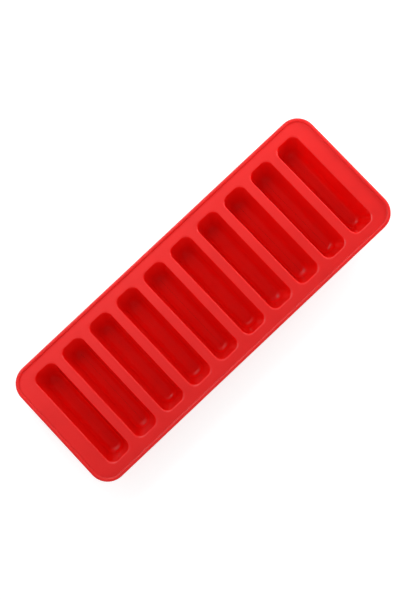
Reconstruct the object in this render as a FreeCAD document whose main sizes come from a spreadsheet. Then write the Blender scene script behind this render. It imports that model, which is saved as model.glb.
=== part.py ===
# Silicone ice pop mould: ten stick-shaped wells side by side in one flexible moulding.
# Each well is a drafted cup with its own thin wall, hung below a flat flange, and a
# rounded bead stiffens the flange's edge. Sizes are in millimetres, Z is up, and the
# origin is at the middle of the plane that the cups stand on.
import FreeCAD, Part
import math
import os
import Sketcher

NODE = "stick_mold"
TOUCH = 1e-4

# Driving sizes: alias, value, what it is.
SIZES = [
    ("well_count", 10, "wells, side by side along X"),
    ("well_width", 19.1, "well across X at the flange's top, without its lip"),
    ("well_length", 84.0, "well along Y at the flange's top, without its lip"),
    ("well_depth", 20.0, "flange's top to the well's floor"),
    ("well_corner", 6.0, "radius of a well's upright corners"),
    ("side_draft_angle", 10.0, "slope of a well's long walls, in degrees"),
    ("end_draft_angle", 16.0, "slope of a well's end walls, in degrees"),
    ("floor_fillet", 4.2, "radius where a well's walls meet its floor"),
    ("lip_fillet", 1.5, "rounded lip round a well's mouth"),
    ("web_width", 7.2, "flange between two mouths"),
    ("end_margin", 14.6, "flange from an end well's mouth to the outer edge"),
    ("side_margin", 10.0, "flange from a mouth's end to the outer edge"),
    ("cup_wall", 1.8, "wall of a cup, square to its face"),
    ("cup_floor", 2.0, "floor of a cup"),
    ("root_fillet", 1.0, "radius where a cup meets the flange's underside"),
    ("flange_thickness", 2.2, "flange"),
    ("outline_corner", 14.7, "corner radius of the flange, seen from above"),
    ("bead_width", 2.6, "bead round the flange's edge"),
    ("bead_height", 1.4, "bead above the flange's top"),
    ("bead_fillet", 1.1, "rounded top of the bead"),
    ("bead_foot", 0.4, "radius where the bead meets the flange's top"),
    ("edge_fillet", 0.8, "radius of the flange's lower outer edge"),
    ("least_flat", 0.2, "flat that a radius leaves beside it on a narrow wall"),
]


def named(text):
    """An expression with every alias in it pointed at the spreadsheet."""
    for alias, _, _ in SIZES:
        text = text.replace(f"[{alias}]", f"Sizes.{alias}")
    return text


# Places and sizes worked out from the driving ones. Z counts up from the cups' feet.
PITCH = "([well_width] + [web_width])"
ROW_LENGTH = f"(([well_count] - 1) * {PITCH})"
FIRST_WELL_X = f"(-{ROW_LENGTH} / 2)"
OVERALL_X = f"({ROW_LENGTH} + [well_width] + 2 * [end_margin])"
OVERALL_Y = "([well_length] + 2 * [side_margin])"
FLANGE_TOP = "([cup_floor] + [well_depth])"
CUP_HEIGHT = f"({FLANGE_TOP} - [flange_thickness])"


def well_size(mouth, draft, depth):
    """A well's width or length at a depth, drawn in by the draft of its walls."""
    return f"([{mouth}] - 2 * ({depth}) * tan([{draft}]))"


def cup_size(mouth, draft, depth):
    """A cup's outside at a depth: the well there, and its wall on both sides."""
    return f"({well_size(mouth, draft, depth)} + 2 * [cup_wall] / cos([{draft}]))"


FLOOR_WIDTH = well_size("well_width", "side_draft_angle", "[well_depth]")
FOOT_WIDTH = cup_size("well_width", "side_draft_angle", FLANGE_TOP)
WELL_CORNER = f"min([well_corner]; {FLOOR_WIDTH} / 2 - [least_flat])"
CUP_CORNER = f"min({WELL_CORNER} + [cup_wall]; {FOOT_WIDTH} / 2 - [least_flat])"
FLOOR_FILLET = f"min([floor_fillet]; {WELL_CORNER} - [least_flat])"
FOOT_FILLET = f"min({FLOOR_FILLET} + [cup_floor]; {CUP_CORNER} - [least_flat])"


def size_sheet(doc):
    """The spreadsheet of driving sizes, one alias to a row."""
    sheet = doc.addObject("Spreadsheet::Sheet", "Sizes")
    for row, (alias, value, meaning) in enumerate(SIZES, start=1):
        sheet.set(f"A{row}", meaning)
        sheet.set(f"B{row}", str(value))
        sheet.setAlias(f"B{row}", alias)
    doc.recompute()
    return sheet


class BodyMaker:
    """A PartDesign body, and short ways to add its sketches and features."""

    def __init__(self, doc, sheet, name, label):
        self.doc = doc
        self.sheet = sheet
        self.name = name
        self.body = doc.addObject("PartDesign::Body", name)
        self.body.Label = label
        origin = self.body.Origin.OriginFeatures
        self.plane = next(o for o in origin if o.Role == "XY_Plane")
        self.x_axis = next(o for o in origin if o.Role == "X_Axis")

    @property
    def shape(self):
        return self.body.Tip.Shape

    def value(self, text):
        """The number that an expression gives with the sizes as they stand."""
        return float(self.sheet.evalExpression(named(text)))

    def sketch(self, name, level, across="0"):
        """An empty sketch, flat at a level and moved across X."""
        made = self.body.newObject("Sketcher::SketchObject", f"{self.name}{name}")
        made.AttachmentSupport = [(self.plane, "")]
        made.MapMode = "FlatFace"
        made.setExpression("AttachmentOffset.Base.z", named(level))
        made.setExpression("AttachmentOffset.Base.x", named(across))
        return made

    def feature(self, kind, name, sizes=(), **settings):
        """A feature of the body: plain settings, then the sizes bound to expressions."""
        made = self.body.newObject(f"PartDesign::{kind}", f"{self.name}{name}")
        for key, value in settings.items():
            setattr(made, key, value)
        for key, text in dict(sizes).items():
            made.setExpression(key, named(text))
        self.body.Tip = made
        self.doc.recompute()
        return made

    def faces(self, wanted):
        """Names of the faces, so far, that the test picks."""
        return [f"Face{n}" for n, face in enumerate(self.shape.Faces, start=1) if wanted(face)]

    def edges(self, wanted):
        """Names of the edges, so far, that the test picks."""
        return [f"Edge{n}" for n, edge in enumerate(self.shape.Edges, start=1) if wanted(edge)]

    def round_edges(self, name, radius, wanted):
        """Fillets the edges that the test picks."""
        base = (self.body.Tip, self.edges(wanted))
        return self.feature("Fillet", name, {"Radius": radius}, Base=base)


def rectangle(sketch, maker, x_size, y_size):
    """Draws a centred rectangle, its two sizes bound to expressions."""
    x, y = maker.value(x_size) / 2, maker.value(y_size) / 2
    corners = [FreeCAD.Vector(*p, 0) for p in ((-x, y), (x, y), (x, -y), (-x, -y))]
    sides = []
    for n, start in enumerate(corners):
        segment = Part.LineSegment(start, corners[(n + 1) % 4])
        sides.append(sketch.addGeometry(segment, False))
    rules = [Sketcher.Constraint("Coincident", sides[n], 2, sides[(n + 1) % 4], 1) for n in range(4)]
    rules += [Sketcher.Constraint("Horizontal", sides[n]) for n in (0, 2)]
    rules += [Sketcher.Constraint("Vertical", sides[n]) for n in (1, 3)]
    rules.append(Sketcher.Constraint("Symmetric", sides[0], 1, sides[2], 1, -1, 1))
    sketch.addConstraint(rules)
    bind_rule(sketch, "across", x_size, Sketcher.Constraint("DistanceX", sides[0], 1, sides[0], 2, 2 * x))
    bind_rule(sketch, "along", y_size, Sketcher.Constraint("DistanceY", sides[1], 2, sides[1], 1, 2 * y))


def rounded_rectangle(sketch, maker, prefix, x_size, y_size, corner):
    """Draws a centred rectangle with round corners, bound to three expressions."""
    x, y = maker.value(x_size) / 2, maker.value(y_size) / 2
    radius = maker.value(corner)
    in_x, in_y = x - radius, y - radius
    ends = [
        ((-in_x, y), (in_x, y)),
        ((x, in_y), (x, -in_y)),
        ((in_x, -y), (-in_x, -y)),
        ((-x, -in_y), (-x, in_y)),
    ]
    sides = []
    for start, end in ends:
        segment = Part.LineSegment(FreeCAD.Vector(*start, 0), FreeCAD.Vector(*end, 0))
        sides.append(sketch.addGeometry(segment, False))
    arcs = []
    quarter = math.pi / 2
    for turn, centre in enumerate([(in_x, in_y), (in_x, -in_y), (-in_x, -in_y), (-in_x, in_y)]):
        circle = Part.Circle(FreeCAD.Vector(*centre, 0), FreeCAD.Vector(0, 0, 1), radius)
        arc = Part.ArcOfCircle(circle, -turn * quarter, (1 - turn) * quarter)
        arcs.append(sketch.addGeometry(arc, False))
    rules = []
    for n in range(4):
        rules.append(Sketcher.Constraint("Tangent", sides[n], 2, arcs[n], 2))
        rules.append(Sketcher.Constraint("Tangent", arcs[n], 1, sides[(n + 1) % 4], 1))
        rules.append(Sketcher.Constraint("Vertical" if n % 2 else "Horizontal", sides[n]))
    rules += [Sketcher.Constraint("Equal", arcs[0], arcs[n]) for n in (1, 2, 3)]
    rules.append(Sketcher.Constraint("Symmetric", sides[0], 1, sides[2], 1, -1, 1))
    sketch.addConstraint(rules)
    across = Sketcher.Constraint("DistanceX", sides[3], 1, sides[1], 1, 2 * x)
    along = Sketcher.Constraint("DistanceY", sides[2], 1, sides[0], 1, 2 * y)
    bind_rule(sketch, f"{prefix}_across", x_size, across)
    bind_rule(sketch, f"{prefix}_along", y_size, along)
    bind_rule(sketch, f"{prefix}_corner", corner, Sketcher.Constraint("Radius", arcs[0], radius))


def bind_rule(sketch, name, text, rule):
    """Adds a dimension to a sketch under a name, and binds it to an expression."""
    index = sketch.addConstraint(rule)
    sketch.renameConstraint(index, name)
    sketch.setExpression(f"Constraints.{name}", named(text))


def lies_at(edge, level):
    """True for an edge that is flat at a level."""
    middle = edge.valueAt((edge.FirstParameter + edge.LastParameter) / 2)
    heights = [vertex.Z for vertex in edge.Vertexes] + [middle.z]
    return all(abs(z - level) < TOUCH for z in heights)


def climbs(edge):
    """True for an edge that runs from one level to another."""
    heights = [vertex.Z for vertex in edge.Vertexes]
    return max(heights) - min(heights) > TOUCH


def faces_along(face, axis):
    """True for a face that looks more or less along an axis."""
    return abs(getattr(face.normalAt(0, 0), axis)) > math.cos(math.pi / 4)


def tapered_row(doc, sheet, name, top, height, width, length, corner, foot):
    """A row of equal blocks, one to a well, that narrow downwards with round edges."""
    maker = BodyMaker(doc, sheet, name, name)
    outline = maker.sketch("Outline", top, FIRST_WELL_X)
    rectangle(outline, maker, width, length)
    maker.feature("Pad", "Block", {"Length": height}, Profile=outline, Reversed=True)
    top_level = maker.value(top)
    foot_level = maker.value(f"{top} - {height}")
    for side, axis, draft in (("Sides", "x", "[side_draft_angle]"), ("Ends", "y", "[end_draft_angle]")):
        walls = (maker.body.Tip, maker.faces(lambda face: faces_along(face, axis)))
        roof = maker.faces(lambda face: abs(face.CenterOfMass.z - top_level) < TOUCH)
        maker.feature(
            "Draft",
            f"Draft{side}",
            {"Angle": draft},
            Base=walls,
            NeutralPlane=(maker.body.Tip, roof),
            Reversed=True,
        )
    maker.round_edges("Corners", corner, climbs)
    maker.round_edges("Foot", foot, lambda edge: lies_at(edge, foot_level))
    maker.feature(
        "LinearPattern",
        "Row",
        {"Length": ROW_LENGTH, "Occurrences": "[well_count]"},
        TransformMode="Whole shape",
        Direction=(maker.x_axis, [""]),
    )
    return maker.body


def build_flange(mould):
    """The flat flange, and the bead that stands round its edge."""
    plate = mould.sketch("FlangeOutline", CUP_HEIGHT)
    rounded_rectangle(plate, mould, "edge", OVERALL_X, OVERALL_Y, "[outline_corner]")
    mould.feature("Pad", "Flange", {"Length": "[flange_thickness]"}, Profile=plate)
    ring = mould.sketch("BeadOutline", FLANGE_TOP)
    rounded_rectangle(ring, mould, "outer", OVERALL_X, OVERALL_Y, "[outline_corner]")
    inner_x = f"{OVERALL_X} - 2 * [bead_width]"
    inner_y = f"{OVERALL_Y} - 2 * [bead_width]"
    rounded_rectangle(ring, mould, "inner", inner_x, inner_y, "[outline_corner] - [bead_width]")
    mould.feature("Pad", "Bead", {"Length": "[bead_height]"}, Profile=ring)


def hang_cups(mould):
    """Joins the cups to the flange's underside, and cuts the wells down into them."""
    cups = tapered_row(
        mould.doc,
        mould.sheet,
        "Cups",
        CUP_HEIGHT,
        CUP_HEIGHT,
        cup_size("well_width", "side_draft_angle", "[flange_thickness]"),
        cup_size("well_length", "end_draft_angle", "[flange_thickness]"),
        CUP_CORNER,
        FOOT_FILLET,
    )
    wells = tapered_row(
        mould.doc,
        mould.sheet,
        "Wells",
        FLANGE_TOP,
        "[well_depth]",
        "[well_width]",
        "[well_length]",
        WELL_CORNER,
        FLOOR_FILLET,
    )
    mould.feature("Boolean", "JoinCups", Type="Fuse", Group=[cups])
    mould.feature("Boolean", "CutWells", Type="Cut", Group=[wells])


def soften_edges(mould):
    """The small radii of the lips, the cups' roots, the bead and the outer edge."""
    top = mould.value(FLANGE_TOP)
    underside = mould.value(CUP_HEIGHT)
    bead_top = mould.value(f"{FLANGE_TOP} + [bead_height]")
    half_x = mould.value(f"{OVERALL_X} / 2")
    half_y = mould.value(f"{OVERALL_Y} / 2")
    bead = mould.value("[bead_width]")
    corner = mould.value("[outline_corner]")

    def in_margin(edge, width):
        """True for an edge no further in from the outline than a width."""
        point = edge.valueAt((edge.FirstParameter + edge.LastParameter) / 2)
        x, y = half_x - abs(point.x), half_y - abs(point.y)
        if x < corner and y < corner:
            return corner - math.hypot(corner - x, corner - y) < width + TOUCH
        return min(x, y) < width + TOUCH

    def on_lip(edge):
        return lies_at(edge, top) and not in_margin(edge, bead)

    def on_bead_foot(edge):
        return lies_at(edge, top) and in_margin(edge, bead) and not in_margin(edge, 0)

    def on_root(edge):
        return lies_at(edge, underside) and not in_margin(edge, 0)

    def on_lower_edge(edge):
        return lies_at(edge, underside) and in_margin(edge, 0)

    mould.round_edges("Lips", "[lip_fillet]", on_lip)
    mould.round_edges("Roots", "[root_fillet]", on_root)
    mould.round_edges("BeadTop", "[bead_fillet]", lambda edge: lies_at(edge, bead_top))
    mould.round_edges("BeadFoot", "[bead_foot]", on_bead_foot)
    mould.round_edges("LowerEdge", "[edge_fillet]", on_lower_edge)


def check(doc, body):
    """Stops if a feature failed, or the moulding isn't one valid closed solid."""
    for item in doc.Objects:
        if "Invalid" in item.State or "Error" in item.State:
            raise RuntimeError(f"{item.Name} failed: {item.State}")
    shape = body.Shape
    if shape.isNull() or not shape.isValid() or len(shape.Solids) != 1:
        raise RuntimeError(f"{body.Label} is not one valid solid")


def main():
    doc = FreeCAD.newDocument("IcePopMould")
    mould = BodyMaker(doc, size_sheet(doc), "Mould", NODE)
    build_flange(mould)
    hang_cups(mould)
    soften_edges(mould)
    doc.recompute()
    check(doc, mould.body)
    os.makedirs("parts", exist_ok=True)
    mould.body.Shape.exportStep(f"parts/{mould.body.Label}.step")
    box = mould.body.Shape.BoundBox
    print(f"{NODE}: {box.XLength:.2f} x {box.YLength:.2f} x {box.ZLength:.2f} mm")
    print(f"volume {mould.body.Shape.Volume / 1000:.1f} cm3, {len(mould.body.Shape.Faces)} faces")


main()
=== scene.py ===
import math

import bmesh
import bpy
from bpy.props import FloatProperty, FloatVectorProperty, IntProperty, PointerProperty
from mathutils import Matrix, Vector


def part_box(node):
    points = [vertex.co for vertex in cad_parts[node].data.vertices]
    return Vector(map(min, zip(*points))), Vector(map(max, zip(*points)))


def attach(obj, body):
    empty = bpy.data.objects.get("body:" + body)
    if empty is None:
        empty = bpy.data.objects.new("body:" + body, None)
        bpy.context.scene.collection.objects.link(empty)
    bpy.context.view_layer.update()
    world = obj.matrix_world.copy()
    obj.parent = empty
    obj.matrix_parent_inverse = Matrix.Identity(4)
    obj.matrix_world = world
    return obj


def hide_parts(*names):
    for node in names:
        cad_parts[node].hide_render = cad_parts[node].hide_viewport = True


bl_info = {
    "name": "Silicone stick mould",
    "version": (1, 0, 0),
    "blender": (4, 5, 0),
    "location": "View3D > Sidebar > Stick mould",
    "description": "Builds a silicone tray with a row of stick-shaped wells, and its studio",
    "category": "Object",
}

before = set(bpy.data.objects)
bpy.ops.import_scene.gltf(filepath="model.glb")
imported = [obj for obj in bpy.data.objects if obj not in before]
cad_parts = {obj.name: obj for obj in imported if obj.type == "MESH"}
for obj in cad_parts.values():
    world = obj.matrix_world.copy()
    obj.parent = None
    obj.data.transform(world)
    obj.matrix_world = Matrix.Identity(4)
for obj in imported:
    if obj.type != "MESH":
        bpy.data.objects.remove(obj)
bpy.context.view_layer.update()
NODE = "stick_mold"
LOW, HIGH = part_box(NODE)

MM = 0.001
# Levels and places closer than this are the same.
TOUCH = 0.01 * MM
# A face is flat when its normal's height is above the first, and an edge is a fold
# when the heights of its faces' normals differ by more than the second.
FLAT_FACE = 0.9
CLEAR_FOLD = 0.5
# The faces at the outline's corners are smaller than this share of the tray's box.
SMALL_SHARE = 0.0005
# The narrowest flat left between two corners of a floor.
LEAST_FLAT = 0.2 * MM
# Faces across each rounded edge, and for a well and a cup in its upright corners,
# its floor's round and its mouth's.
OUTLINE_STEPS = 14
BEAD_STEPS = 5
FOOT_STEPS = 3
EDGE_STEPS = 3
WELL_STEPS = (9, 9, 5)
CUP_STEPS = (9, 9, 4)
# Levels between which the glossy wells change to the satin flange, on the lips.
SATIN_FROM = 21.2 * MM
SATIN_TO = 21.95 * MM
SILICONE_IOR = 1.42
# How far red, green and blue light spread inside the silicone, as shares of the reach.
SPREAD = (1.0, 0.10, 0.08)
# Waves to a metre in the tool marks, across and along the wells, and in the patches.
MARK_WAVES = (900, 14, 14)
PATCH_WAVES = 45.0
# Levels of the patches' noise between which the pigment gets thinner.
THIN_FROM = 0.1
THIN_TO = 0.6
# How much rougher the patches make the surface, and the share of grain in the wells.
PATCH_ROUGHNESS = 0.06
WELL_GRAIN = 0.25
# Sines of heights in the sky: half the blur at the horizon, and where its dusk ends.
HAZE = 0.05
LOW_SKY = 0.4
FLOOR_SIDE = 6
FLOOR_GAP = 0.05 * MM
SENSOR = 36


def length(name, mm, description):
    """A size of the tray in metres, shown as a length."""
    return FloatProperty(name=name, description=description, default=mm * MM, min=0.0, unit="LENGTH")


def colour(name, rgb, description):
    """A colour that the user picks."""
    return FloatVectorProperty(
        name=name, description=description, default=rgb, size=3, min=0.0, max=1.0, subtype="COLOR"
    )


def share(name, value, description):
    """A plain share from nothing to all."""
    return FloatProperty(
        name=name, description=description, default=value, min=0.0, max=1.0, subtype="FACTOR"
    )


def angle(name, degrees, description):
    """An angle, kept in radians."""
    return FloatProperty(
        name=name, description=description, default=math.radians(degrees), subtype="ANGLE"
    )


def place(name, mm, description):
    """A place in metres, given in millimetres."""
    return FloatVectorProperty(
        name=name,
        description=description,
        default=[value * MM for value in mm],
        subtype="TRANSLATION",
        unit="LENGTH",
    )


def sides(name, mm, description):
    """Two sides of a rectangle in metres, given in millimetres."""
    return FloatVectorProperty(
        name=name, description=description, default=[value * MM for value in mm], size=2, unit="LENGTH"
    )


def power(name, watts, description):
    """The power of a light."""
    return FloatProperty(name=name, description=description, default=watts, min=0.0, unit="POWER")


class TraySizes(bpy.types.PropertyGroup):
    """Sizes of the moulding. Its outline and heights come from the CAD model's box."""

    well_count: IntProperty(name="Wells", description="Wells side by side", default=10, min=1)
    well_width: length("Well width", 19.1, "Across a mouth, without its lip")
    well_length: length("Well length", 84.0, "Along a mouth, without its lip")
    well_depth: length("Well depth", 20.0, "From the flange's top to a well's floor")
    well_corner: length("Well corner", 6.0, "Radius of a well's upright corners")
    side_draft: angle("Side draft", 10.0, "Slope of a well's long walls")
    end_draft: angle("End draft", 16.0, "Slope of a well's end walls")
    floor_fillet: length("Floor radius", 4.2, "Where a well's walls meet its floor")
    lip_fillet: length("Lip radius", 1.5, "Rounded lip round a mouth")
    web_width: length("Web", 7.2, "Flange between two mouths")
    cup_wall: length("Cup wall", 1.8, "Wall of a cup, square to its face")
    cup_floor: length("Cup floor", 2.0, "Floor of a cup")
    root_fillet: length("Root radius", 1.0, "Where a cup meets the flange's underside")
    flange_thickness: length("Flange", 2.2, "Thickness of the flange")
    outline_corner: length("Outline corner", 14.7, "Corner radius of the flange")
    bead_width: length("Bead width", 2.6, "Bead round the flange's edge")
    bead_fillet: length("Bead radius", 1.1, "Rounded top of the bead")
    bead_foot: length("Bead foot", 0.4, "Where the bead meets the flange's top")
    edge_fillet: length("Edge radius", 0.8, "Lower outer edge of the flange")


class TrayFinish(bpy.types.PropertyGroup):
    """Colour and surface of the silicone."""

    red: colour("Silicone", (0.84, 0.0060, 0.0045), "Colour of the silicone in daylight")
    deep_red: colour("Deep silicone", (0.78, 0.0042, 0.0032), "Colour where pigment is denser")
    glow: share("Glow", 1.0, "How much light goes through the skin of the silicone")
    glow_reach: length("Glow reach", 2.0, "How far red light spreads inside the silicone")
    satin: share("Satin roughness", 0.50, "Roughness of the flange")
    polish: share("Well roughness", 0.05, "Roughness inside the wells")
    grain_size: length("Grain size", 0.5, "Size of the fine moulded grain")
    grain_height: length("Grain height", 0.02, "Height of the fine moulded grain")
    mark_height: length("Tool mark height", 0.02, "Height of the faint marks along the wells")


class StudioSettings(bpy.types.PropertyGroup):
    """Camera, floor and lights."""

    camera_place: place("Camera place", (-35.6, -64.5, 790.5), "Where the camera stands")
    camera_turn: FloatVectorProperty(
        name="Camera turn",
        description="How the camera is turned, nearly straight down",
        default=(math.radians(5.1857), math.radians(1.5567), math.radians(-43.2884)),
        subtype="EULER",
        unit="ROTATION",
    )
    lens: FloatProperty(
        name="Lens", description="Focal length in millimetres", default=65.2, unit="CAMERA"
    )
    floor_colour: colour("Floor", (0.62, 0.62, 0.62), "Colour of the pale floor")
    floor_white: share("Floor white", 0.65, "White added to it where it is seen or mirrored")
    ambient: FloatProperty(name="Ambient", description="Light from all round", default=0.62, min=0.0)
    lean: FloatVectorProperty(
        name="Lean", description="How much that light grows along X and Y", default=(-0.22, -0.66), size=2
    )
    overhead_edge: angle("Overhead edge", 24.0, "How far from straight up the dark overhead ends")
    overhead_core: angle("Overhead core", 12.0, "How far from straight up it is fully dark")
    dusk: share("Dusk", 0.3, "Share of the ambient light that is left at the horizon")
    horizon: angle("Horizon", 13.0, "How far up reflections show the white background")
    ceiling: FloatProperty(name="Ceiling", description="What they show above it", default=0.06, min=0.0)
    key_place: place("Soft box", (50, 310, 420), "Where the soft box stands")
    key_size: sides("Soft box size", (300, 150), "Length and height of the soft box")
    key_power: power("Soft box power", 0.45, "Power of the soft box")
    near_place: place("Near light", (0, 100, 150), "Where the strip close over the far edge stands")
    near_size: sides("Near light size", (500, 60), "Length and height of the near light")
    near_power: power("Near light power", 0.115, "Power of the near light")
    side_place: place("Side light", (300, 0, 60), "Where the low light beside the last well stands")
    side_size: sides("Side light size", (200, 80), "Length and height of the side light")
    side_power: power("Side light power", 0.32, "Power of the side light")
    strip_place: place("Strip light", (0, 345, 260), "Where the strip and the glint light stand")
    strip_size: sides("Strip light size", (600, 40), "Length and height of the strip light")
    strip_power: power("Strip light power", 0.25, "Power of the strip light")
    glint_size: sides("Glint light size", (600, 14), "Length and height of the light that only glints")
    glint_power: power("Glint light power", 2.2, "Power of the light that only glints")


# Selecting in edit mode


def pick(tray, kind, wanted):
    """In edit mode, selects only the vertices, edges or faces that the test picks."""
    bpy.ops.mesh.select_mode(type=kind)
    bpy.ops.mesh.select_all(action="DESELECT")
    shell = bmesh.from_edit_mesh(tray.data)
    for item in {"VERT": shell.verts, "EDGE": shell.edges, "FACE": shell.faces}[kind]:
        if wanted(item):
            item.select_set(True)
    shell.select_flush_mode()
    bmesh.update_edit_mesh(tray.data)


def middle(edge):
    """Halfway along an edge."""
    return (edge.verts[0].co + edge.verts[1].co) / 2


def at_level(edge, level):
    """True for an edge that lies flat at a level."""
    return all(abs(vertex.co.z - level) < TOUCH for vertex in edge.verts)


def climbs(edge):
    """True for an edge whose ends are at different levels."""
    return abs(edge.verts[0].co.z - edge.verts[1].co.z) > TOUCH


def folds(edge):
    """True for an edge between a flat face and a steep one."""
    if len(edge.link_faces) != 2:
        return False
    steep, flat = sorted(abs(face.normal.z) for face in edge.link_faces)
    return steep < 1 - FLAT_FACE and flat > FLAT_FACE or flat - steep > CLEAR_FOLD


def how_far_out(spot, sizes):
    """How far out a spot lies. The outline itself is as far out as its corners' radius."""
    x = abs(spot.x) - (HIGH.x - sizes.outline_corner)
    y = abs(spot.y) - (HIGH.y - sizes.outline_corner)
    return math.hypot(x, y) if x > 0 and y > 0 else max(x, y)


def in_strip_corner(face):
    """True for the small four-sided faces of the bead's strip, at the outline's corners."""
    small = SMALL_SHARE * (HIGH.x - LOW.x) * (HIGH.y - LOW.y)
    return len(face.verts) == 4 and face.calc_area() < small


# Modelling the tray


def run_off(radius, draft=0.0):
    """How far a radius reaches along a flat face, up to a wall with that draft."""
    return radius * math.tan((math.pi / 2 - draft) / 2)


def round_off(reach, steps, affect="EDGES"):
    """Rounds the selected edges or corners."""
    bpy.ops.mesh.bevel(offset=reach, segments=steps, affect=affect, clamp_overlap=False)


def start_sheet(sizes, level):
    """A flat sheet with the flange's rounded outline and the bead's strip marked on it."""
    bpy.ops.object.select_all(action="DESELECT")
    bpy.ops.mesh.primitive_plane_add(size=1, location=(0, 0, level))
    sheet = bpy.context.object
    sheet.scale = (HIGH.x - LOW.x, HIGH.y - LOW.y, 1)
    bpy.ops.object.transform_apply(location=True, rotation=True, scale=True)
    bpy.ops.object.mode_set(mode="EDIT")
    bpy.ops.mesh.select_all(action="SELECT")
    round_off(sizes.outline_corner, OUTLINE_STEPS, "VERTICES")
    bpy.ops.mesh.select_all(action="SELECT")
    bpy.ops.mesh.inset(thickness=sizes.bead_width, depth=0)
    return sheet


def cut_cells(sheet, centres, pitch, half_y):
    """Splits the sheet into one cell to each well, and leaves the strip's corners whole."""
    across = [x - pitch / 2 for x in centres] + [centres[-1] + pitch / 2]
    lines = [((x, 0, 0), (1, 0, 0)) for x in across]
    lines += [((0, y, 0), (0, 1, 0)) for y in (-half_y, half_y)]
    for spot, direction in lines:
        pick(sheet, "FACE", lambda face: not in_strip_corner(face))
        bpy.ops.mesh.bisect(plane_co=spot, plane_no=direction)


def sink_pockets(sheet, centres, pitch, top, depth, mouth, foot, corner, floor_reach, lip_reach, steps):
    """Turns each cell into a pocket: rounded mouth, sloping walls and a round floor."""
    floor = top - depth
    corner_steps, floor_steps, lip_steps = steps
    cut_cells(sheet, centres, pitch, (mouth[1] + pitch - mouth[0]) / 2)

    def in_cell(face, x=None):
        spot = face.calc_center_median()
        near = min(abs(spot.x - centre) for centre in (centres if x is None else [x]))
        return near < pitch / 4 and abs(spot.y) < pitch / 4

    pick(sheet, "FACE", in_cell)
    bpy.ops.mesh.inset(thickness=(pitch - mouth[0]) / 2, depth=0, use_individual=True)
    pick(sheet, "FACE", in_cell)
    bpy.ops.mesh.extrude_region_move(TRANSFORM_OT_translate={"value": (0, 0, -depth)})
    for x in centres:
        pick(sheet, "FACE", lambda face: in_cell(face, x))
        bpy.ops.transform.resize(
            value=(foot[0] / mouth[0], foot[1] / mouth[1], 1), center_override=(x, 0, floor)
        )
    pick(sheet, "EDGE", climbs)
    round_off(min(corner, foot[0] / 2 - LEAST_FLAT), corner_steps)
    pick(sheet, "EDGE", lambda edge: at_level(edge, floor) and folds(edge))
    round_off(floor_reach, floor_steps)
    pick(sheet, "EDGE", lambda edge: at_level(edge, top) and folds(edge))
    round_off(lip_reach, lip_steps)


def raise_bead(sheet, sizes, top):
    """Raises the strip along the outline into a rounded bead."""
    height = HIGH.z - top
    inner = sizes.outline_corner - sizes.bead_width

    def on_strip(face):
        spot = face.calc_center_median()
        return abs(spot.z - top) < TOUCH and how_far_out(spot, sizes) > inner

    def on_foot(edge):
        by_strip = how_far_out(middle(edge), sizes) > inner - sizes.bead_width / 4
        return at_level(edge, top) and folds(edge) and by_strip

    pick(sheet, "FACE", on_strip)
    bpy.ops.mesh.extrude_region_move(TRANSFORM_OT_translate={"value": (0, 0, height)})
    pick(sheet, "EDGE", lambda edge: at_level(edge, top + height) and folds(edge))
    round_off(sizes.bead_fillet, BEAD_STEPS)
    pick(sheet, "EDGE", on_foot)
    round_off(sizes.bead_foot, FOOT_STEPS)


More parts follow.
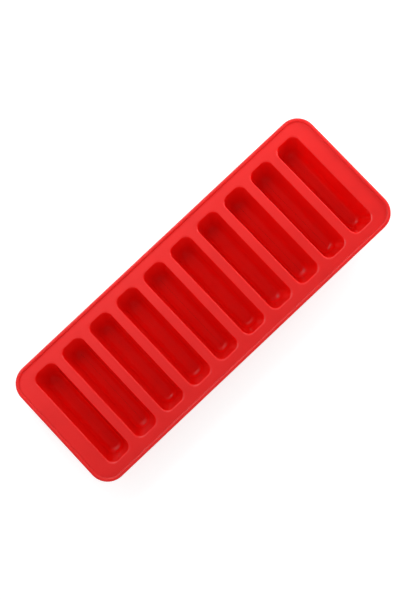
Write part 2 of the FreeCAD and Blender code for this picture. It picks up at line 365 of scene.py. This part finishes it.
def build_tray(sizes):
    """The whole moulding as one closed mesh."""
    pitch = sizes.well_width + sizes.web_width
    first = -(sizes.well_count - 1) * pitch / 2
    centres = [first + n * pitch for n in range(sizes.well_count)]
    top = sizes.cup_floor + sizes.well_depth
    underside = top - sizes.flange_thickness
    slopes = (sizes.side_draft, sizes.end_draft)

    def well(depth):
        mouth = (sizes.well_width, sizes.well_length)
        return [size - 2 * depth * math.tan(slope) for size, slope in zip(mouth, slopes)]

    def cup(depth):
        walls = [2 * sizes.cup_wall / math.cos(slope) for slope in slopes]
        return [size + wall for size, wall in zip(well(depth), walls)]

    upper = start_sheet(sizes, top)
    sink_pockets(
        upper,
        centres,
        pitch,
        top=top,
        depth=sizes.well_depth,
        mouth=well(0),
        foot=well(sizes.well_depth),
        corner=sizes.well_corner,
        floor_reach=run_off(sizes.floor_fillet, sizes.side_draft),
        lip_reach=run_off(sizes.lip_fillet, sizes.side_draft),
        steps=WELL_STEPS,
    )
    raise_bead(upper, sizes, top)
    pick(upper, "EDGE", lambda edge: edge.is_boundary)
    bpy.ops.mesh.extrude_edges_move(TRANSFORM_OT_translate={"value": (0, 0, underside - top)})
    bpy.ops.object.mode_set(mode="OBJECT")

    lower = start_sheet(sizes, underside)
    bpy.ops.mesh.select_all(action="SELECT")
    bpy.ops.mesh.flip_normals()
    sink_pockets(
        lower,
        centres,
        pitch,
        top=underside,
        depth=underside,
        mouth=cup(sizes.flange_thickness),
        foot=cup(top),
        corner=sizes.well_corner + sizes.cup_wall,
        floor_reach=run_off(sizes.floor_fillet + sizes.cup_floor, sizes.side_draft),
        lip_reach=run_off(sizes.root_fillet, sizes.side_draft),
        steps=CUP_STEPS,
    )
    bpy.ops.object.mode_set(mode="OBJECT")

    bpy.ops.object.select_all(action="DESELECT")
    upper.select_set(True)
    lower.select_set(True)
    bpy.context.view_layer.objects.active = upper
    bpy.ops.object.join()
    bpy.ops.object.mode_set(mode="EDIT")
    bpy.ops.mesh.select_all(action="SELECT")
    bpy.ops.mesh.remove_doubles(threshold=TOUCH)

    def on_lower_edge(edge):
        by_outline = how_far_out(middle(edge), sizes) > sizes.outline_corner - sizes.bead_width / 4
        return at_level(edge, underside) and folds(edge) and by_outline

    pick(upper, "EDGE", on_lower_edge)
    round_off(sizes.edge_fillet, EDGE_STEPS)
    bpy.ops.mesh.select_all(action="SELECT")
    bpy.ops.mesh.normals_make_consistent(inside=False)
    bpy.ops.object.mode_set(mode="OBJECT")
    bpy.ops.object.shade_smooth()
    weigh = upper.modifiers.new("Even shading", "WEIGHTED_NORMAL")
    weigh.mode = "FACE_AREA_WITH_ANGLE"
    bpy.ops.object.modifier_apply(modifier=weigh.name)
    return upper


# Materials


def shader(material):
    """The material's own Principled shader."""
    return material.node_tree.nodes["Principled BSDF"]


def group(name, takes, gives):
    """An empty node group with its sockets, its own nodes and its links."""
    tree = bpy.data.node_groups.new(name, "ShaderNodeTree")
    for label, kind in takes.items():
        tree.interface.new_socket(label, in_out="INPUT", socket_type=kind)
    for label, kind in gives.items():
        tree.interface.new_socket(label, in_out="OUTPUT", socket_type=kind)
    return tree, tree.nodes.new("NodeGroupInput"), tree.nodes.new("NodeGroupOutput")


def feed(links, socket, term):
    """Gives a socket a plain number or another node's output."""
    if isinstance(term, (int, float)):
        socket.default_value = term
    else:
        links.new(term, socket)


def ramp(nodes, links, value, low, high, start=0.0, end=1.0):
    """Goes smoothly from start to end while a value goes from low to high."""
    step = nodes.new("ShaderNodeMapRange")
    step.interpolation_type = "SMOOTHSTEP"
    step.inputs["From Min"].default_value = low
    step.inputs["From Max"].default_value = high
    step.inputs["To Min"].default_value = start
    step.inputs["To Max"].default_value = end
    links.new(value, step.inputs["Value"])
    return step.outputs["Result"]


def combine(nodes, links, operation, *terms):
    """One Math node on its terms, in order."""
    node = nodes.new("ShaderNodeMath")
    node.operation = operation
    for socket, term in zip(node.inputs, terms):
        feed(links, socket, term)
    return node.outputs[0]


def blend(nodes, links, mask, low, high):
    """A value that goes from low to high with a mask."""
    mixed = nodes.new("ShaderNodeMix")
    for label, term in (("Factor", mask), ("A", low), ("B", high)):
        feed(links, mixed.inputs[label], term)
    return mixed.outputs["Result"]


def depth_mask():
    """A group that gives 1 on the flange and its bead, and 0 in the wells up to their lips."""
    tree, takes, gives = group(
        "height_on_tray", {"Place": "NodeSocketVector"}, {"On flange": "NodeSocketFloat"}
    )
    nodes, links = tree.nodes, tree.links
    split = nodes.new("ShaderNodeSeparateXYZ")
    links.new(takes.outputs["Place"], split.inputs[0])
    on_flange = ramp(nodes, links, split.outputs["Z"], SATIN_FROM, SATIN_TO)
    links.new(on_flange, gives.inputs["On flange"])
    return tree


def moulded_grain():
    """A group with fine grain, faint tool marks along the wells, and uneven patches."""
    tree, takes, gives = group(
        "moulded_grain",
        {"Place": "NodeSocketVector", "Grain size": "NodeSocketFloat"},
        {"Grain": "NodeSocketFloat", "Tool marks": "NodeSocketFloat", "Patches": "NodeSocketFloat"},
    )
    nodes, links = tree.nodes, tree.links
    grain = nodes.new("ShaderNodeTexNoise")
    grain.inputs["Detail"].default_value = 2.0
    grain.inputs["Roughness"].default_value = 0.6
    links.new(takes.outputs["Place"], grain.inputs["Vector"])
    links.new(combine(nodes, links, "DIVIDE", 1.0, takes.outputs["Grain size"]), grain.inputs["Scale"])
    links.new(grain.outputs["Fac"], gives.inputs["Grain"])
    along = nodes.new("ShaderNodeMapping")
    along.inputs["Scale"].default_value = MARK_WAVES
    marks = nodes.new("ShaderNodeTexNoise")
    marks.inputs["Scale"].default_value = 1.0
    marks.inputs["Detail"].default_value = 1.5
    links.new(takes.outputs["Place"], along.inputs["Vector"])
    links.new(along.outputs[0], marks.inputs["Vector"])
    links.new(marks.outputs["Fac"], gives.inputs["Tool marks"])
    patches = nodes.new("ShaderNodeTexNoise")
    patches.inputs["Scale"].default_value = PATCH_WAVES
    patches.inputs["Detail"].default_value = 3.0
    links.new(takes.outputs["Place"], patches.inputs["Vector"])
    links.new(patches.outputs["Fac"], gives.inputs["Patches"])
    return tree


def use(nodes, tree):
    """A node that uses a node group."""
    node = nodes.new("ShaderNodeGroup")
    node.node_tree = tree
    return node


def silicone(finish):
    """Red satin silicone that glows a little where light goes through it."""
    material = bpy.data.materials.new("red_silicone")
    material.use_nodes = True
    nodes, links = material.node_tree.nodes, material.node_tree.links
    skin = shader(material)
    skin.inputs["IOR"].default_value = SILICONE_IOR
    skin.inputs["Subsurface Weight"].default_value = finish.glow
    skin.inputs["Subsurface Radius"].default_value = SPREAD
    skin.inputs["Subsurface Scale"].default_value = finish.glow_reach
    spot = nodes.new("ShaderNodeTexCoord").outputs["Object"]
    mask = use(nodes, depth_mask())
    grain = use(nodes, moulded_grain())
    grain.inputs["Grain size"].default_value = finish.grain_size
    for node in (mask, grain):
        links.new(spot, node.inputs["Place"])
    on_flange = mask.outputs["On flange"]

    tint = nodes.new("ShaderNodeMix")
    tint.data_type = "RGBA"
    tint.inputs["A"].default_value = (*finish.deep_red, 1)
    tint.inputs["B"].default_value = (*finish.red, 1)
    thin = ramp(nodes, links, grain.outputs["Patches"], THIN_FROM, THIN_TO)
    links.new(thin, tint.inputs["Factor"])
    links.new(tint.outputs["Result"], skin.inputs["Base Color"])

    satin = blend(nodes, links, on_flange, finish.polish, finish.satin)
    uneven = combine(nodes, links, "MULTIPLY_ADD", grain.outputs["Patches"], PATCH_ROUGHNESS, satin)
    links.new(uneven, skin.inputs["Roughness"])

    rough_grain = nodes.new("ShaderNodeBump")
    rough_grain.inputs["Distance"].default_value = finish.grain_height
    grain_share = blend(nodes, links, on_flange, WELL_GRAIN, 1.0)
    grain_level = combine(nodes, links, "MULTIPLY", grain.outputs["Grain"], grain_share)
    links.new(grain_level, rough_grain.inputs["Height"])
    scored = nodes.new("ShaderNodeBump")
    scored.inputs["Distance"].default_value = finish.mark_height
    mark_share = blend(nodes, links, on_flange, 1.0, 0.0)
    mark_level = combine(nodes, links, "MULTIPLY", grain.outputs["Tool marks"], mark_share)
    links.new(mark_level, scored.inputs["Height"])
    links.new(rough_grain.outputs["Normal"], scored.inputs["Normal"])
    links.new(scored.outputs["Normal"], skin.inputs["Normal"])
    return material


# Studio


def build_floor(settings):
    """A pale floor that looks white, also in reflections, and keeps the tray's soft shadow."""
    bpy.ops.object.select_all(action="DESELECT")
    bpy.ops.mesh.primitive_plane_add(size=FLOOR_SIDE, location=(0, 0, -FLOOR_GAP))
    floor = bpy.context.object
    floor.name = floor.data.name = "floor"
    material = bpy.data.materials.new("pale_floor")
    material.use_nodes = True
    nodes, links = material.node_tree.nodes, material.node_tree.links
    paint = shader(material)
    paint.inputs["Base Color"].default_value = (*settings.floor_colour, 1)
    paint.inputs["Roughness"].default_value = 0.9
    paint.inputs["Emission Color"].default_value = (1, 1, 1, 1)
    rays = nodes.new("ShaderNodeLightPath").outputs
    shown = combine(nodes, links, "MAXIMUM", rays["Is Camera Ray"], rays["Is Glossy Ray"])
    shown = combine(nodes, links, "MAXIMUM", shown, rays["Is Transmission Ray"])
    glowing = combine(nodes, links, "MULTIPLY", shown, settings.floor_white)
    links.new(glowing, paint.inputs["Emission Strength"])
    floor.data.materials.append(material)


def soft_light(name, where, size, watts, *hidden_from):
    """A rectangular light towards the tray's middle, hidden from the camera and other rays."""
    bpy.ops.object.light_add(type="AREA", location=where)
    light = bpy.context.object
    light.name = name
    light.data.shape = "RECTANGLE"
    light.data.size, light.data.size_y = size
    light.data.energy = watts
    for rays in ("camera", *hidden_from):
        setattr(light, f"visible_{rays}", False)
    light.rotation_euler = (-Vector(where)).to_track_quat("-Z", "Y").to_euler()


def build_world(settings):
    """Soft light from all round but overhead, with the white background round the horizon."""
    world = bpy.data.worlds.new("studio")
    bpy.context.scene.world = world
    world.use_nodes = True
    nodes, links = world.node_tree.nodes, world.node_tree.links
    sky = nodes["Background"]
    sky.inputs["Color"].default_value = (1, 1, 1, 1)
    split = nodes.new("ShaderNodeSeparateXYZ")
    links.new(nodes.new("ShaderNodeTexCoord").outputs["Generated"], split.inputs[0])
    x, y, up = split.outputs
    edge, core = math.cos(settings.overhead_edge), math.cos(settings.overhead_core)
    away = ramp(nodes, links, up, edge, core, settings.ambient, 0.0)
    leaning = combine(nodes, links, "MULTIPLY_ADD", x, settings.lean[0], 1.0)
    leaning = combine(nodes, links, "MULTIPLY_ADD", y, settings.lean[1], leaning)
    rising = ramp(nodes, links, up, -HAZE, LOW_SKY, settings.dusk, 1.0)
    light = combine(nodes, links, "MULTIPLY", leaning, away)
    light = combine(nodes, links, "MULTIPLY", light, rising)
    height = math.sin(settings.horizon)
    mirrored = ramp(nodes, links, up, height - HAZE, height + HAZE, 1.0, settings.ceiling)
    rays = nodes.new("ShaderNodeLightPath").outputs
    soft = blend(nodes, links, rays["Is Glossy Ray"], light, mirrored)
    direct = combine(nodes, links, "MAXIMUM", rays["Is Camera Ray"], rays["Is Transmission Ray"])
    links.new(blend(nodes, links, direct, soft, 1.0), sky.inputs["Strength"])


def build_camera(settings):
    """The camera above the tray, at the photograph's angle."""
    data = bpy.data.cameras.new("camera")
    data.sensor_width = SENSOR
    data.lens = settings.lens
    camera = bpy.data.objects.new("camera", data)
    camera.location = settings.camera_place
    camera.rotation_euler = settings.camera_turn
    bpy.context.scene.collection.objects.link(camera)
    bpy.context.scene.camera = camera


# Operators, panel and running


class STICKMOULD_OT_tray(bpy.types.Operator):
    """Builds the silicone tray in place of the CAD solid"""

    bl_idname = "stickmould.tray"
    bl_label = "Silicone tray"

    def execute(self, context):
        tray = build_tray(context.scene.tray_sizes)
        tray.name = tray.data.name = "silicone_tray"
        tray.data.materials.clear()
        tray.data.materials.append(silicone(context.scene.tray_finish))
        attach(tray, "root")
        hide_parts(NODE)
        return {"FINISHED"}


class STICKMOULD_OT_stage(bpy.types.Operator):
    """Sets up the pale floor, the soft lights and the camera"""

    bl_idname = "stickmould.stage"
    bl_label = "Studio"

    def execute(self, context):
        studio = context.scene.studio
        context.scene.view_settings.view_transform = "Standard"
        build_floor(studio)
        build_world(studio)
        soft_light("soft_box", studio.key_place, studio.key_size, studio.key_power, "glossy")
        soft_light("near_light", studio.near_place, studio.near_size, studio.near_power)
        soft_light("side_light", studio.side_place, studio.side_size, studio.side_power)
        soft_light("strip_light", studio.strip_place, studio.strip_size, studio.strip_power, "glossy")
        soft_light("glint_light", studio.strip_place, studio.glint_size, studio.glint_power, "diffuse")
        build_camera(studio)
        return {"FINISHED"}


class STICKMOULD_PT_panel(bpy.types.Panel):
    """The mould's builders and settings, in the 3D view's sidebar"""

    bl_label = "Stick mould"
    bl_space_type = "VIEW_3D"
    bl_region_type = "UI"
    bl_category = "Stick mould"

    def draw(self, context):
        for operator in OPERATORS:
            self.layout.operator(operator.bl_idname)
        for name in GROUPS:
            settings = getattr(context.scene, name)
            box = self.layout.box()
            for key in type(settings).__annotations__:
                box.prop(settings, key)


OPERATORS = (STICKMOULD_OT_tray, STICKMOULD_OT_stage)
GROUPS = {"tray_sizes": TraySizes, "tray_finish": TrayFinish, "studio": StudioSettings}
CLASSES = (*GROUPS.values(), *OPERATORS, STICKMOULD_PT_panel)


def register():
    """Adds the settings, the operators and the panel."""
    for item in CLASSES:
        bpy.utils.register_class(item)
    for name, settings in GROUPS.items():
        setattr(bpy.types.Scene, name, PointerProperty(type=settings))


def unregister():
    """Takes them away again."""
    for name in GROUPS:
        delattr(bpy.types.Scene, name)
    for item in reversed(CLASSES):
        bpy.utils.unregister_class(item)


def main():
    """Builds the tray and its studio."""
    register()
    bpy.ops.stickmould.tray()
    bpy.ops.stickmould.stage()


if __name__ == "__main__":
    main()
